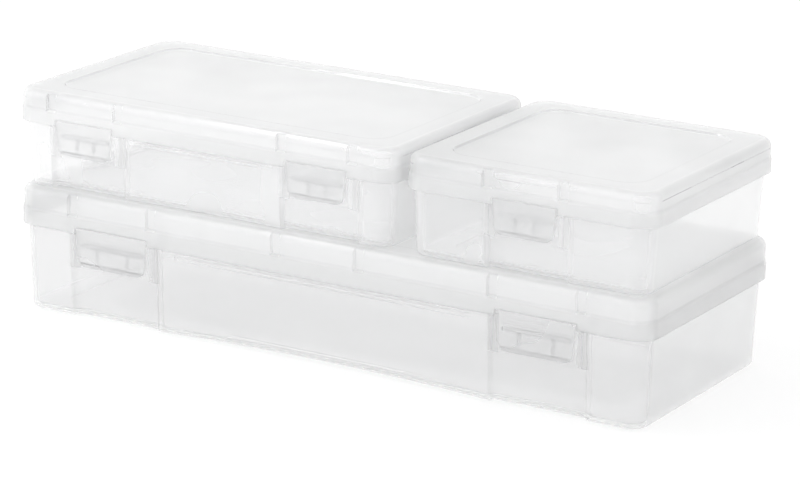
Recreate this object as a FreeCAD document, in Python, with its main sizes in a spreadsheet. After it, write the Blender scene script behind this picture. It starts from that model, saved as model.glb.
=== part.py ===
"""A stacked set of three latching keeper cases in frosted clear plastic.

One long case lies at the bottom.  A medium case and a small square case stand side by side on its
lid.  Every case is a drafted tray, a skirted lid that swings on two rear hinges, and snap latches
in its front skirt.  Millimetres, X along the fronts, Y from front to back, Z up.  The origin is
under the middle of the long case, on the surface that the set stands on.
"""
import math
import os

import FreeCAD, Part
import Sketcher
from FreeCAD import Placement, Rotation, Vector

doc = FreeCAD.newDocument("keeper_cases")

# Driving sizes, in millimetres and degrees.
SIZES = {
    # the three cases
    "large_length": 344.0,
    "large_height": 62.9,
    "large_lid_height": 19.4,
    "large_step_rise": 8.3,
    "large_latch_end": 56.5,
    "large_latch_width": 41.0,
    "large_bay_width": 48.4,
    "large_tab_drop": 16.0,
    "large_catch_drop": 4.4,
    "large_gusset_offset": 8.8,
    "large_notch_offset": 22.6,
    "large_hinge_end": 43.0,
    "large_bow": 3.0,
    "large_arch": 1.2,
    "large_bead_margin": 9.5,
    "small_length": 128.0,
    "case_gap": 4.0,
    "short_height": 48.8,
    "short_lid_height": 16.1,
    "short_step_rise": 6.9,
    "short_hinge_end": 36.0,
    "medium_latch_end": 41.0,
    "medium_bow": 1.6,
    "medium_bead_margin": 4.5,
    "short_latch_width": 32.4,
    "short_bay_width": 40.6,
    "short_tab_drop": 13.7,
    "short_catch_drop": 3.2,
    "short_gusset_offset": 4.8,
    "short_notch_offset": 19.2,
    "depth": 130.0,
    # how the cases stand on each other
    "stack_gap": 0.2,
    # walls of tray and lid
    "tray_wall": 1.6,
    "tray_floor": 2.0,
    "tray_radius": 10.0,
    "foot_inset": 4.0,
    "foot_drop": 0.8,
    "foot_gap": 0.5,
    "foot_round": 2.4,
    "rim_lean": 1.3,
    "rim_gap": 0.3,
    "lid_wall": 1.5,
    "lid_top": 1.6,
    "lid_radius": 11.0,
    "lid_round": 4.0,
    "lid_inner_round": 2.0,
    "skirt_flare": 0.5,
    "skirt_gap": 0.3,
    "panel_inset": 14.5,
    "panel_recess": 1.0,
    "panel_radius": 12.0,
    # notches pressed into the lid's upper band, and the ribs that they make inside
    "notch_width": 4.8,
    "notch_depth": 1.4,
    "notch_rib_wall": 1.2,
    "notch_clearance": 0.4,
    # latch bays in the tray front
    "bay_depth": 3.1,
    "bay_slant": 0.7,
    "fin_width": 2.6,
    "fin_set": 0.4,
    "fin_below": 1.0,
    "fin_lead": 2.4,
    "catch_reach": 1.8,
    "catch_rise": 3.0,
    "catch_margin": 2.0,
    "bead_radius": 1.1,
    "bead_set": 0.5,
    # latches
    "slit": 0.5,
    "root_rise": 2.3,
    "root_gap": 0.12,
    "tab_taper": 1.4,
    "tab_corner": 4.5,
    "hook_gap": 0.1,
    "hook_height": 2.2,
    "hook_margin": 3.0,
    "gusset_width": 1.5,
    "lip_height": 2.2,
    "lip_depth": 0.9,
    # rear hinges
    "hinge_bay_width": 30.0,
    "hinge_bay_depth": 5.0,
    "hinge_pin_radius": 1.5,
    "hinge_bore_gap": 0.15,
    "hinge_lug_radius": 2.6,
    "hinge_lug_width": 3.0,
    "hinge_knuckle_radius": 3.0,
    "hinge_side_gap": 0.4,
    "hinge_mouth": 2.5,
    "hinge_set": 3.4,
    "hinge_drop": 2.6,
    "hinge_arm_depth": 2.6,
    "hinge_arm_rise": 4.0,
    # how far a cutting shape runs past what it cuts, and how deep an added shape is rooted
    "overrun": 5.0,
    "root": 0.4,
}

sheet = doc.addObject("Spreadsheet::Sheet", "Sizes")
for row, (alias, value) in enumerate(SIZES.items(), start=1):
    sheet.set(f"A{row}", alias)
    sheet.set(f"B{row}", str(value))
    sheet.setAlias(f"B{row}", alias)
doc.recompute()


def size(name):
    """The number behind one driving size."""
    return SIZES[name]


def ref(name):
    """One driving size, as an expression names it."""
    return "Sizes." + name


# Expressions that every case shares.
FRONT = f"(-{ref('depth')} / 2)"
BACK = f"({ref('depth')} / 2)"
RIM_INSET = f"({ref('lid_wall')} + {ref('skirt_flare')} + {ref('skirt_gap')})"
OVER = ref("overrun")
LENGTHS = {
    "large": ref("large_length"),
    "medium": f"({ref('large_length')} - {ref('case_gap')} - {ref('small_length')})",
    "small": ref("small_length"),
}


class Case:
    """The expressions of one case's own sizes, in that case's own frame, its foot at Z = 0."""

    def __init__(self, name, shape):
        self.name = name
        self.length = LENGTHS[name]
        self.height = ref(shape + "_height")
        self.lid_height = ref(shape + "_lid_height")
        self.step_rise = ref(shape + "_step_rise")
        self.latch_width = ref(shape + "_latch_width")
        self.bay_width = ref(shape + "_bay_width")
        self.tab_drop = ref(shape + "_tab_drop")
        self.catch_drop = ref(shape + "_catch_drop")
        self.gusset_offset = ref(shape + "_gusset_offset")
        self.notch_offset = ref(shape + "_notch_offset")
        self.hinge_offset = f"({self.length} / 2 - {ref(shape + '_hinge_end')})"
        if name == "small":
            self.latches = ("0",)
        else:
            latch_offset = f"({self.length} / 2 - {ref(name + '_latch_end')})"
            self.latches = (f"(-{latch_offset})", latch_offset)
        self.notched = self.latches + (("0",) if name == "large" else ())
        self.skirt = f"({self.height} - {self.lid_height})"
        self.step = f"({self.skirt} + {self.step_rise})"
        self.rim = f"({self.height} - {ref('lid_top')} - {ref('rim_gap')})"
        self.hinge_y = f"({BACK} - {ref('hinge_set')})"
        self.hinge_z = f"({self.skirt} - {ref('hinge_drop')})"
        self.root_z = f"({self.skirt} + {ref('root_rise')})"
        self.catch_z = f"({self.skirt} - {self.catch_drop})"
        self.tab_z = f"({self.skirt} - {self.tab_drop})"
        self.bay_y = f"({FRONT} + {RIM_INSET} + {ref('bay_depth')})"
        self.catch_y = f"({self.bay_y} - {ref('catch_reach')})"
        self.draft = (f"atan(({ref('foot_inset')} - {RIM_INSET})"
                      f" / ({self.skirt} - {ref('foot_drop')}))")


def bind(thing, **expressions):
    """Binds properties to expressions.  A double underscore stands for a dot in a name."""
    for name, text in expressions.items():
        thing.setExpression(name.replace("__", "."), text)
    return thing


def check(things):
    """Stops the build if an object failed or a shape is empty or broken."""
    for thing in things:
        if "Invalid" in thing.State or "Error" in thing.State:
            raise RuntimeError(f"{thing.Name} failed: {thing.State}")
        if hasattr(thing, "Shape") and thing.TypeId.startswith("Part"):
            if thing.Shape.isNull() or not thing.Shape.isValid():
                raise RuntimeError(f"{thing.Name} has no sound shape")


def box(name, x0, x1, y0, y1, z0, z1):
    """A box between two corners given as expressions."""
    solid = doc.addObject("Part::Box", name)
    bind(solid, Length=f"({x1}) - ({x0})", Width=f"({y1}) - ({y0})", Height=f"({z1}) - ({z0})")
    return bind(solid, Placement__Base__x=x0, Placement__Base__y=y0, Placement__Base__z=z0)


def column(name, z0, foot, z1, head):
    """A solid between a low and a high rectangle, each (x0, x1, y0, y1) in expressions."""
    solid = doc.addObject("Part::Wedge", name)
    solid.Placement = Placement(Vector(), Rotation(Vector(1, 0, 0), 90))
    (ax, bx, ay, by), (cx, dx, cy, dy) = foot, head
    bind(solid, Ymin=z0, Ymax=z1, Xmin=ax, Xmax=bx, Zmin=f"-({by})", Zmax=f"-({ay})")
    return bind(solid, X2min=cx, X2max=dx, Z2min=f"-({dy})", Z2max=f"-({cy})")


def rod(name, radius, x0, x1, y, z):
    """A round bar along X."""
    solid = doc.addObject("Part::Cylinder", name)
    solid.Placement = Placement(Vector(), Rotation(Vector(0, 1, 0), 90))
    bind(solid, Radius=radius, Height=f"({x1}) - ({x0})")
    return bind(solid, Placement__Base__x=x0, Placement__Base__y=y, Placement__Base__z=z)


def fuse(name, shapes):
    joined = doc.addObject("Part::MultiFuse", name)
    joined.Shapes = shapes
    return joined


def cut(name, base, tools):
    tool = tools[0] if len(tools) == 1 else fuse(name + "_tools", tools)
    result = doc.addObject("Part::Cut", name)
    result.Base = base
    result.Tool = tool
    return result


def plane_of(body, role):
    return [item for item in body.Origin.OriginFeatures if item.Role == role][0]


def sketch_on(body, name, role, offset):
    """An empty sketch on one of the body's own planes, moved out along its normal."""
    sketch = body.newObject("Sketcher::SketchObject", name)
    sketch.AttachmentSupport = [(plane_of(body, role), "")]
    sketch.MapMode = "FlatFace"
    sketch.setExpression("AttachmentOffset.Base.z", offset)
    return sketch


def dimension(sketch, kind, where, start, text):
    """One driving dimension: a first value for the solver, then its expression."""
    index = sketch.addConstraint(Sketcher.Constraint(kind, *where, start))
    sketch.setExpression(f"Constraints[{index}]", text)


def polygon(body, name, role, points, offset):
    """A closed four-sided sketch whose corners are pairs of expressions."""
    sketch = sketch_on(body, name, role, offset)
    reach = size("short_latch_width")
    starts = [(-reach, reach), (reach, reach), (reach, -reach), (-reach, -reach)]
    for i, (u, v) in enumerate(starts):
        after = starts[(i + 1) % len(starts)]
        sketch.addGeometry(Part.LineSegment(Vector(u, v, 0), Vector(*after, 0)), False)
    for i, (u, v) in enumerate(starts):
        sketch.addConstraint(Sketcher.Constraint("Coincident", i, 2, (i + 1) % len(starts), 1))
    for i, (u, v) in enumerate(starts):
        dimension(sketch, "DistanceX", (-1, 1, i, 1), u, points[i][0])
        dimension(sketch, "DistanceY", (-1, 1, i, 1), v, points[i][1])
    return sketch


def outline(body, name, case, inset, radius, z):
    """A case's rounded outline, drawn in by an inset, at one height."""
    sketch = sketch_on(body, name, "XY_Plane", z)
    reach, r = size("depth") / 2, size("tray_radius")
    near = reach - r
    corners = [(near, -near), (near, near), (-near, near), (-near, -near)]
    ends = [((-near, -reach), (near, -reach)), ((reach, -near), (reach, near)),
            ((near, reach), (-near, reach)), ((-reach, near), (-reach, -near))]
    for start, end in ends:
        sketch.addGeometry(Part.LineSegment(Vector(*start, 0), Vector(*end, 0)), False)
    for i, (x, y) in enumerate(corners):
        circle = Part.Circle(Vector(x, y, 0), Vector(0, 0, 1), r)
        turn = math.pi / 2
        sketch.addGeometry(Part.ArcOfCircle(circle, (i - 1) * turn, i * turn), False)
    sides = len(corners)
    for i in range(sides):
        sketch.addConstraint(Sketcher.Constraint("Tangent", i, 2, sides + i, 1))
        sketch.addConstraint(Sketcher.Constraint("Tangent", sides + i, 2, (i + 1) % sides, 1))
        sketch.addConstraint(Sketcher.Constraint("Vertical" if i % 2 else "Horizontal", i))
        if i:
            sketch.addConstraint(Sketcher.Constraint("Equal", sides, sides + i))
    sketch.addConstraint(Sketcher.Constraint("Symmetric", 0, 1, 2, 1, -1, 1))
    dimension(sketch, "Radius", (sides,), r, radius)
    dimension(sketch, "DistanceX", (-1, 1, 1, 1), reach, f"{case.length} / 2 - {inset}")
    dimension(sketch, "DistanceY", (-1, 1, 2, 1), reach, f"{BACK} - {inset}")
    return sketch


def pad(body, name, sketch, length, reverse=False, taper=None):
    feature = body.newObject("PartDesign::Pad", name)
    feature.Profile = sketch
    feature.Reversed = reverse
    bind(feature, Length=length)
    if taper:
        bind(feature, TaperAngle=taper)
    doc.recompute()
    return feature


def edge_names(shape, wanted):
    return [f"Edge{i}" for i, edge in enumerate(shape.Edges, start=1) if wanted(edge)]


def at_end(shape, end):
    """A test for the edges that lie flat at a shape's lowest or highest level."""
    z = end(vertex.Point.z for vertex in shape.Vertexes)
    near = size("root") / size("depth")
    return lambda edge: all(abs(vertex.Point.z - z) < near for vertex in edge.Vertexes)


def fillet(body, name, base, wanted, radius):
    feature = body.newObject("PartDesign::Fillet", name)
    feature.Base = (base, edge_names(base.Shape, wanted))
    bind(feature, Radius=radius)
    doc.recompute()
    return feature


def slab(name, case, inset, radius, z0, z1):
    """A flat block with rounded corners."""
    body = doc.addObject("PartDesign::Body", name)
    sketch = outline(body, name + "_sketch", case, inset, radius, z0)
    pad(body, name + "_pad", sketch, f"({z1}) - ({z0})")
    return body


def tray_form(name, case, wall, foot, top, round_foot):
    """The tray's outside, or with a wall and a floor its inside: drafted below the lid's skirt
    and leaning in above it, so that the skirt's front can swing clear of the rim."""
    body = doc.addObject("PartDesign::Body", name)
    inset, radius = f"({RIM_INSET} + {wall})", f"{ref('tray_radius')} - {wall}"
    lean = f"-atan({ref('rim_lean')} / ({case.rim} - {case.skirt}))"
    upper = outline(body, name + "_upper_sketch", case, inset, radius, case.skirt)
    pad(body, name + "_upper", upper, f"({top}) - {case.skirt}", taper=lean)
    lower = outline(body, name + "_lower_sketch", case, inset, radius, case.skirt)
    block = pad(body, name + "_lower", lower, f"{case.skirt} - ({foot})", reverse=True,
                taper=f"-{case.draft}")
    fillet(body, name + "_foot", block, at_end(block.Shape, min), round_foot)
    return body


def bay_cutter(name, case, at, wall):
    """The space of one latch bay: below the skirt a slant-sided slot whose floor keeps the tray's
    draft, above it a wider one that the lid's notch ribs pass through."""
    half = f"({case.bay_width} / 2 + {wall})"
    out = f"({ref('bay_depth')} + {OVER})"
    out_half = f"({half} + {ref('bay_slant')} * {out} / {ref('bay_depth')})"
    low = doc.addObject("Part::Wedge", name + "_low")
    low.Placement = Placement(Vector(), Rotation(Vector(1, 0, 0), 1))
    bind(low, Ymin=f"-{out}", Ymax=wall, Xmin=f"-{out_half}", Xmax=out_half, Zmin=f"-{case.height}",
         Zmax=ref("root"), X2min=f"-{half}", X2max=half, Z2min=f"-{case.height}",
         Z2max=ref("root"))
    bind(low, Placement__Base__x=at, Placement__Base__y=case.bay_y, Placement__Base__z=case.skirt,
         Placement__Rotation__Angle=case.draft)
    wide = (f"({case.notch_offset} + {ref('notch_width')} / 2 + {ref('notch_rib_wall')}"
            f" + {ref('notch_clearance')} + {wall})")
    high = box(name + "_high", f"{at} - {wide}", f"{at} + {wide}", f"{FRONT} - {OVER}",
               f"{case.bay_y} + {wall}", f"{case.skirt} - {wall}", f"{case.rim} + {OVER}")
    return [low, high]


def hinge_cutter(name, case, at, wall):
    """The space of one hinge bay in the tray's back."""
    half = f"({ref('hinge_bay_width')} / 2 + {wall})"
    floor = f"({BACK} - {RIM_INSET} - {ref('hinge_bay_depth')} - {wall})"
    return [box(name, f"{at} - {half}", f"{at} + {half}", floor, f"{BACK} + {OVER}",
                "0", f"{case.rim} + {OVER}")]


def panel_half(case):
    """Half the width of the middle panel between two latch bays."""
    return f"({case.latches[1]} - {case.bay_width} / 2)"


def bow_cutter(name, case, wall, bow):
    """The hollow of the middle panel, which bows in between the two latch bays."""
    half = panel_half(case)
    radius = f"(({half} * {half} + {bow} * {bow}) / (2 * {bow}))"
    grow = f"({ref('foot_inset')} - {RIM_INSET})"
    y = f"({FRONT} + {RIM_INSET} + {bow} - {radius})"
    cone = doc.addObject("Part::Cone", name + "_low")
    bind(cone, Radius1=f"{radius} + {grow} + {wall}", Radius2=f"{radius} + {wall}",
         Height=case.skirt, Placement__Base__y=y)
    drum = doc.addObject("Part::Cylinder", name + "_high")
    bind(drum, Radius=f"{radius} + {wall}", Height=f"{case.height}",
         Placement__Base__y=y, Placement__Base__z=case.skirt)
    return [cone, drum]


def arch_cutter(name, case):
    """The slight arch under the middle panel's foot."""
    half, rise = panel_half(case), ref("large_arch")
    radius = f"(({half} * {half} + {rise} * {rise}) / (2 * {rise}))"
    drum = doc.addObject("Part::Cylinder", name)
    drum.Placement = Placement(Vector(), Rotation(Vector(1, 0, 0), -90))
    bind(drum, Radius=radius, Height=ref("depth"), Placement__Base__y=FRONT,
         Placement__Base__z=f"{ref('foot_drop')} + {rise} - {radius}")
    return [drum]


def bay_fittings(name, case, at):
    """The two guard fins and the catch ledge of one latch bay."""
    parts = []
    deep = f"({case.bay_y} + {ref('tray_wall')} / 2)"
    face = f"({FRONT} + {ref('fin_set')})"
    foot = f"({case.tab_z} - {ref('fin_below')})"
    toe = f"({foot} - {ref('fin_lead')})"
    top = f"({case.skirt} - {ref('skirt_gap')})"
    for side, sign in (("left", "-"), ("right", "+")):
        outer = f"({at} {sign} {case.bay_width} / 2)"
        inner = f"({at} {sign} ({case.bay_width} / 2 - {ref('fin_width')}))"
        x0, x1 = (outer, inner) if sign == "-" else (inner, outer)
        fin = f"{name}_fin_{side}"
        parts.append(box(fin, x0, x1, face, deep, foot, top))
        back = f"({deep} - {ref('tray_wall')} / 4)"
        parts.append(column(fin + "_toe", toe, (x0, x1, back, deep), foot, (x0, x1, face, deep)))
    half = f"({case.latch_width} / 2 - {ref('catch_margin')})"
    x0, x1 = f"({at} - {half})", f"({at} + {half})"
    parts.append(column(name + "_catch", case.catch_z, (x0, x1, case.catch_y, deep),
                        f"{case.catch_z} + {ref('catch_rise')}", (x0, x1, case.bay_y, deep)))
    return parts


def bead(name, case):
    """The long rounded bead under the skirt on the middle panel, in line with the catches."""
    half = f"({panel_half(case)} - {ref(case.name + '_bead_margin')})"
    y = f"({FRONT} + {RIM_INSET} - {ref('bead_set')} + {ref('bead_radius')})"
    z = f"({case.catch_z} + {ref('bead_radius')})"
    deep = f"({FRONT} + {RIM_INSET} + {ref(case.name + '_bow')} + {ref('tray_wall')})"
    nose = rod(name + "_nose", ref("bead_radius"), f"-{half}", half, y, z)
    shelf = box(name + "_shelf", f"-{half}", half, y, deep,
                f"{z} - {ref('bead_radius')}", f"{z} + {ref('bead_radius')}")
    return [nose, shelf]


def hinge_lugs(name, case, at):
    """Two lugs and the pin moulded between them, in one hinge bay."""
    half = f"({ref('hinge_bay_width')} / 2)"
    floor = f"({BACK} - {RIM_INSET} - {ref('hinge_bay_depth')} - {ref('tray_wall')} / 2)"
    parts = [rod(name + "_pin", ref("hinge_pin_radius"), f"{at} - {half}", f"{at} + {half}",
                 case.hinge_y, case.hinge_z)]
    radius = ref("hinge_lug_radius")
    for side, x0, x1 in (("left", f"({at} - {half})", f"({at} - {half} + {ref('hinge_lug_width')})"),
                         ("right", f"({at} + {half} - {ref('hinge_lug_width')})", f"({at} + {half})")):
        lug = f"{name}_lug_{side}"
        parts.append(rod(lug, radius, x0, x1, case.hinge_y, case.hinge_z))
        parts.append(box(lug + "_web", x0, x1, floor, case.hinge_y,
                         f"{case.hinge_z} - {radius}", f"{case.hinge_z} + {radius}"))
    return parts


def make_tray(case):
    """One tray: the outside, less its bays, with its fittings, less the inside."""
    n = case.name + "_tray"
    wall = ref("tray_wall")
    floor = f"({ref('foot_drop')} + {ref('tray_floor')})"
    outside = tray_form(n + "_outside", case, "0", ref("foot_drop"), case.rim, ref("foot_round"))
    inside = tray_form(n + "_inside", case, wall, floor, f"{case.rim} + {ref('root')}",
                       f"{ref('foot_round')} - {wall} / 2")
    outer_cuts, inner_cuts, fittings = [], [], []
    for i, at in enumerate(case.latches):
        outer_cuts += bay_cutter(f"{n}_bay_{i}", case, at, "0")
        inner_cuts += bay_cutter(f"{n}_bay_wall_{i}", case, at, wall)
        fittings += bay_fittings(f"{n}_bay_{i}", case, at)
    for i, at in enumerate((f"(-{case.hinge_offset})", case.hinge_offset)):
        outer_cuts += hinge_cutter(f"{n}_hinge_{i}", case, at, "0")
        inner_cuts += hinge_cutter(f"{n}_hinge_wall_{i}", case, at, wall)
        fittings += hinge_lugs(f"{n}_hinge_{i}", case, at)
    if len(case.latches) == 2:
        bow = ref(case.name + "_bow")
        outer_cuts += bow_cutter(n + "_bow", case, "0", bow)
        inner_cuts += bow_cutter(n + "_bow_wall", case, wall, bow)
        fittings += bead(n + "_bead", case)
    if case.name == "large":
        outer_cuts += arch_cutter(n + "_arch", case)
    pad_inset = f"({ref('panel_inset')} + {ref('foot_gap')})"
    pad_radius = f"({ref('panel_radius')} - {ref('foot_gap')})"
    foot = slab(n + "_foot", case, pad_inset, pad_radius, "0", floor)
    dip = slab(n + "_dip", case, f"({pad_inset} + {wall})", f"({pad_radius} - {wall})",
               ref("tray_floor"), f"{floor} + {ref('root')}")
    shell = cut(n + "_shell", outside, outer_cuts)
    hollow = cut(n + "_hollow", inside, inner_cuts)
    body = fuse(n + "_body", [shell, foot] + fittings)
    return cut(n, body, [hollow, dip])


def notch_places(case):
    """The middles of the lid's notches: one each side of every latch bay that it lines up with."""
    return [f"({at} {sign} {case.notch_offset})" for at in case.notched for sign in "-+"]


def lid_form(name, case, wall, top, round_top):
    """The lid's outside, or with a wall its inside: a flared lower band and a plain upper one."""
    body = doc.addObject("PartDesign::Body", name)
    radius, flare = f"{ref('lid_radius')} - {wall}", ref("skirt_flare")
    low = outline(body, name + "_low_sketch", case, wall, radius, case.skirt)
    pad(body, name + "_low", low, f"{case.step} - {case.skirt}")
    high = outline(body, name + "_high_sketch", case, f"({wall} + {flare})", f"{radius} - {flare}",
                   case.step)
    block = pad(body, name + "_high", high, f"({top}) - {case.step}")
    fillet(body, name + "_crown", block, at_end(block.Shape, max), round_top)
    return body


def notch_ribs(name, case, at):
    half = f"({ref('notch_width')} / 2 + {ref('notch_rib_wall')})"
    y = f"({FRONT} + {ref('skirt_flare')} + {ref('notch_depth')})"
    return [box(name, f"{at} - {half}", f"{at} + {half}", f"{y} - {ref('root')} / 2",
                f"{y} + {ref('lid_wall')}", case.step, f"{case.height} - {ref('lid_top')} / 2")]


def notch_cutter(name, case, at):
    half = f"({ref('notch_width')} / 2)"
    y = f"({FRONT} + {ref('skirt_flare')} + {ref('notch_depth')})"
    return [box(name, f"{at} - {half}", f"{at} + {half}", f"{FRONT} - {OVER}", y,
                case.step, f"{case.height} + {OVER}")]


def latch_slot(name, case, at):
    """The opening in the skirt that a latch fills, with a slit at each side."""
    half = f"({case.latch_width} / 2 + {ref('slit')})"
    top = f"({case.root_z} + {ref('lid_wall')} / 2 + {ref('root_gap')})"
    return [box(name, f"{at} - {half}", f"{at} + {half}", f"{FRONT} - {OVER}",
                f"{FRONT} + {ref('lid_wall')} + {ref('root')}", f"{case.skirt} - {OVER}", top)]


def knuckle(name, case, at):
    """The clip that snaps over one hinge pin, and the arm that ties it to the rear skirt."""
    half = f"({ref('hinge_bay_width')} / 2 - {ref('hinge_lug_width')} - {ref('hinge_side_gap')})"
    x0, x1 = f"({at} - {half})", f"({at} + {half})"
    bore = f"({ref('hinge_pin_radius')} + {ref('hinge_bore_gap')})"
    ring = rod(name + "_ring", ref("hinge_knuckle_radius"), x0, x1, case.hinge_y, case.hinge_z)
    arm = box(name + "_arm", x0, x1, f"{BACK} - {ref('lid_wall')} / 2 - {ref('hinge_arm_depth')}",
              f"{BACK} - {ref('lid_wall')} / 2", case.hinge_z, f"{case.skirt} + {ref('hinge_arm_rise')}")
    hole = rod(name + "_bore", bore, f"{x0} - {OVER}", f"{x1} + {OVER}", case.hinge_y, case.hinge_z)
    mouth = box(name + "_mouth", f"{x0} - {OVER}", f"{x1} + {OVER}",
                f"{case.hinge_y} - {ref('hinge_mouth')} / 2", f"{case.hinge_y} + {ref('hinge_mouth')} / 2",
                f"{case.hinge_z} - {OVER}", case.hinge_z)
    return cut(name, fuse(name + "_solid", [ring, arm]), [hole, mouth])


def make_lid(case):
    """One lid: the outside less the inside, with notch ribs and hinge clips, less what is cut."""
    n = case.name + "_lid"
    outside = lid_form(n + "_outside", case, "0", case.height, ref("lid_round"))
    inside = lid_form(n + "_inside", case, ref("lid_wall"), f"({case.height} - {ref('lid_top')})",
                      ref("lid_inner_round"))
    recess = slab(n + "_recess", case, ref("panel_inset"), ref("panel_radius"),
                  f"{case.height} - {ref('panel_recess')}", f"{case.height} + {OVER}")
    boss = slab(n + "_boss", case, f"({ref('panel_inset')} - {ref('lid_top')})",
                f"({ref('panel_radius')} + {ref('lid_top')})",
                f"{case.height} - {ref('lid_top')} - {ref('panel_recess')}",
                f"{case.height} - {ref('panel_recess')}")
    hollow = cut(n + "_hollow", inside, [boss])
    shell = cut(n + "_shell", outside, [hollow])
    ribs, grooves, slots = [], [], []
    for i, at in enumerate(notch_places(case)):
        ribs += notch_ribs(f"{n}_rib_{i}", case, at)
        grooves += notch_cutter(f"{n}_notch_{i}", case, at)
    for i, at in enumerate(case.latches):
        slots += latch_slot(f"{n}_slot_{i}", case, at)
    hinge_places = (f"(-{case.hinge_offset})", case.hinge_offset)
    clips = [knuckle(f"{n}_clip_{i}", case, at) for i, at in enumerate(hinge_places)]
    body = fuse(n + "_body", [shell] + ribs + clips)
    return cut(n, body, grooves + slots + [recess])


def make_latch(name, case, at):
    """One latch: a springy tab with a rounded root, a hook bar, two gussets and a thick lip."""
    half = f"({case.latch_width} / 2)"
    low_half = f"({half} - {ref('tab_taper')})"
    thick = ref("lid_wall")
    body = doc.addObject("PartDesign::Body", name + "_tab")
    points = [(f"{at} - {half}", case.root_z), (f"{at} + {half}", case.root_z),
              (f"{at} + {low_half}", case.tab_z), (f"{at} - {low_half}", case.tab_z)]
    sketch = polygon(body, name + "_sketch", "XZ_Plane", points, f"-{FRONT}")
    plate = pad(body, name + "_plate", sketch, thick, reverse=True)
    lowest, through = at_end(plate.Shape, min), plate.Shape.BoundBox.YLength / 2
    fillet(body, name + "_corners", plate,
           lambda edge: lowest(edge) and edge.BoundBox.YLength > through, ref("tab_corner"))
    inner = f"({FRONT} + {thick})"
    seat = f"({inner} - {ref('root')})"
    reach = f"({case.catch_y} - {ref('hook_gap')})"
    hook_half = f"({half} - {ref('hook_margin')})"
    hook_top = f"({case.catch_z} - {ref('skirt_gap')})"
    hook_low = f"({hook_top} - {ref('hook_height')})"
    parts = [body, rod(name + "_root", f"{thick} / 2", f"{at} - {half}", f"{at} + {half}",
                       f"{FRONT} + {thick} / 2", case.root_z)]
    parts.append(box(name + "_hook", f"{at} - {hook_half}", f"{at} + {hook_half}", seat, reach,
                     hook_low, hook_top))
    lip_top = f"({case.tab_z} + {ref('lip_height')})"
    lip_half = f"({low_half} - {ref('tab_corner')})"
    parts.append(box(name + "_lip", f"{at} - {lip_half}", f"{at} + {lip_half}", seat,
                     f"{inner} + {ref('lip_depth')}", case.tab_z, lip_top))
    for side, sign in (("left", "-"), ("right", "+")):
        mid = f"({at} {sign} {case.gusset_offset})"
        x0, x1 = f"{mid} - {ref('gusset_width')} / 2", f"{mid} + {ref('gusset_width')} / 2"
        parts.append(column(f"{name}_gusset_{side}", f"{lip_top} - {ref('root')}",
                            (x0, x1, seat, f"{inner} + {ref('root')} / 2"),
                            f"{hook_low} + {ref('root')}", (x0, x1, seat, reach)))
    return fuse(name, parts)


def place(node, label, x, z):
    """Sets a finished sub-part in the shared frame and names it."""
    node.Label = label
    return bind(node, Placement__Base__x=x, Placement__Base__z=z)


STACK = f"({ref('large_height')} + {ref('stack_gap')} - {ref('foot_drop')})"
MEDIUM_X = f"(({LENGTHS['medium']} - {LENGTHS['large']}) / 2)"
SMALL_X = f"(({LENGTHS['large']} - {LENGTHS['small']}) / 2)"
CASES = [
    (Case("large", "large"), "0", "0"),
    (Case("medium", "short"), MEDIUM_X, STACK),
    (Case("small", "short"), SMALL_X, STACK),
]

nodes = []
for case, x, z in CASES:
    nodes.append(place(make_tray(case), case.name + "_tray", x, z))
    nodes.append(place(make_lid(case), case.name + "_lid", x, z))
    sides = ("left", "right") if len(case.latches) == 2 else ("front",)
    for side, at in zip(sides, case.latches):
        label = f"{case.name}_latch_{side}"
        nodes.append(place(make_latch(label, case, at), label, x, z))

doc.recompute()
check(doc.Objects)

os.makedirs("parts", exist_ok=True)
for node in nodes:
    bounds = node.Shape.BoundBox
    print(f"{node.Label}: {len(node.Shape.Solids)} solid, {node.Shape.Volume / 1000:.2f} cm3, "
          f"X {bounds.XMin:.2f} to {bounds.XMax:.2f}, Y {bounds.YMin:.2f} to {bounds.YMax:.2f}, "
          f"Z {bounds.ZMin:.2f} to {bounds.ZMax:.2f}")
    node.Shape.exportStep(f"parts/{node.Label}.step")
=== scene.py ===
# %% [markdown]
# # A stack of frosted keeper cases
# Three lidded cases of clear, slightly milky polypropylene: a long one below, and a medium and a
# small square one side by side on its lid.  Each case is moulded in two pieces, a tray and a lid.
# The lid hangs on two clips at the back and closes with snap latches in its front skirt.
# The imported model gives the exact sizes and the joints.  This file gives the cases their moulded
# surfaces, with every edge rounded, and their plastic.

# %% Load the frame
import math

import bmesh
import bpy
import numpy as np
from mathutils import Matrix, Vector


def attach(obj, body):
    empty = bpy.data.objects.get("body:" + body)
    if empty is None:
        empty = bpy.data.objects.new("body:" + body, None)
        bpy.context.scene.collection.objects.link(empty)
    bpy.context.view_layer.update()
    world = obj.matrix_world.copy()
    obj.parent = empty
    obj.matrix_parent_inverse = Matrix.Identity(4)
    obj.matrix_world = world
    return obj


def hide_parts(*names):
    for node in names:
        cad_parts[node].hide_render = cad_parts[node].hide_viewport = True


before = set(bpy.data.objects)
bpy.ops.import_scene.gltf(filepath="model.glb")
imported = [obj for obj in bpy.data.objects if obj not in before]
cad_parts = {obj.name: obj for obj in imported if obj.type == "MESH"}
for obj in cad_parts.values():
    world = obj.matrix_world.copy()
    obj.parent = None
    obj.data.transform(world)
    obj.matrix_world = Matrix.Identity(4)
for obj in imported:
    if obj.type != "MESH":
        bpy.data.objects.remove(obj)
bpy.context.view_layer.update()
MM = 0.001
print("nodes:", ", ".join(sorted(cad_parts)))

# %% [markdown]
# ## Sizes
# The pieces are worked out in millimetres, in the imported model's own frame, and turned to metres
# when a mesh is made.  Each case is described by a few heights and by where its latches and hinges
# sit.  The upper two share one shape, so what differs from the long case is written down once.

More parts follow.
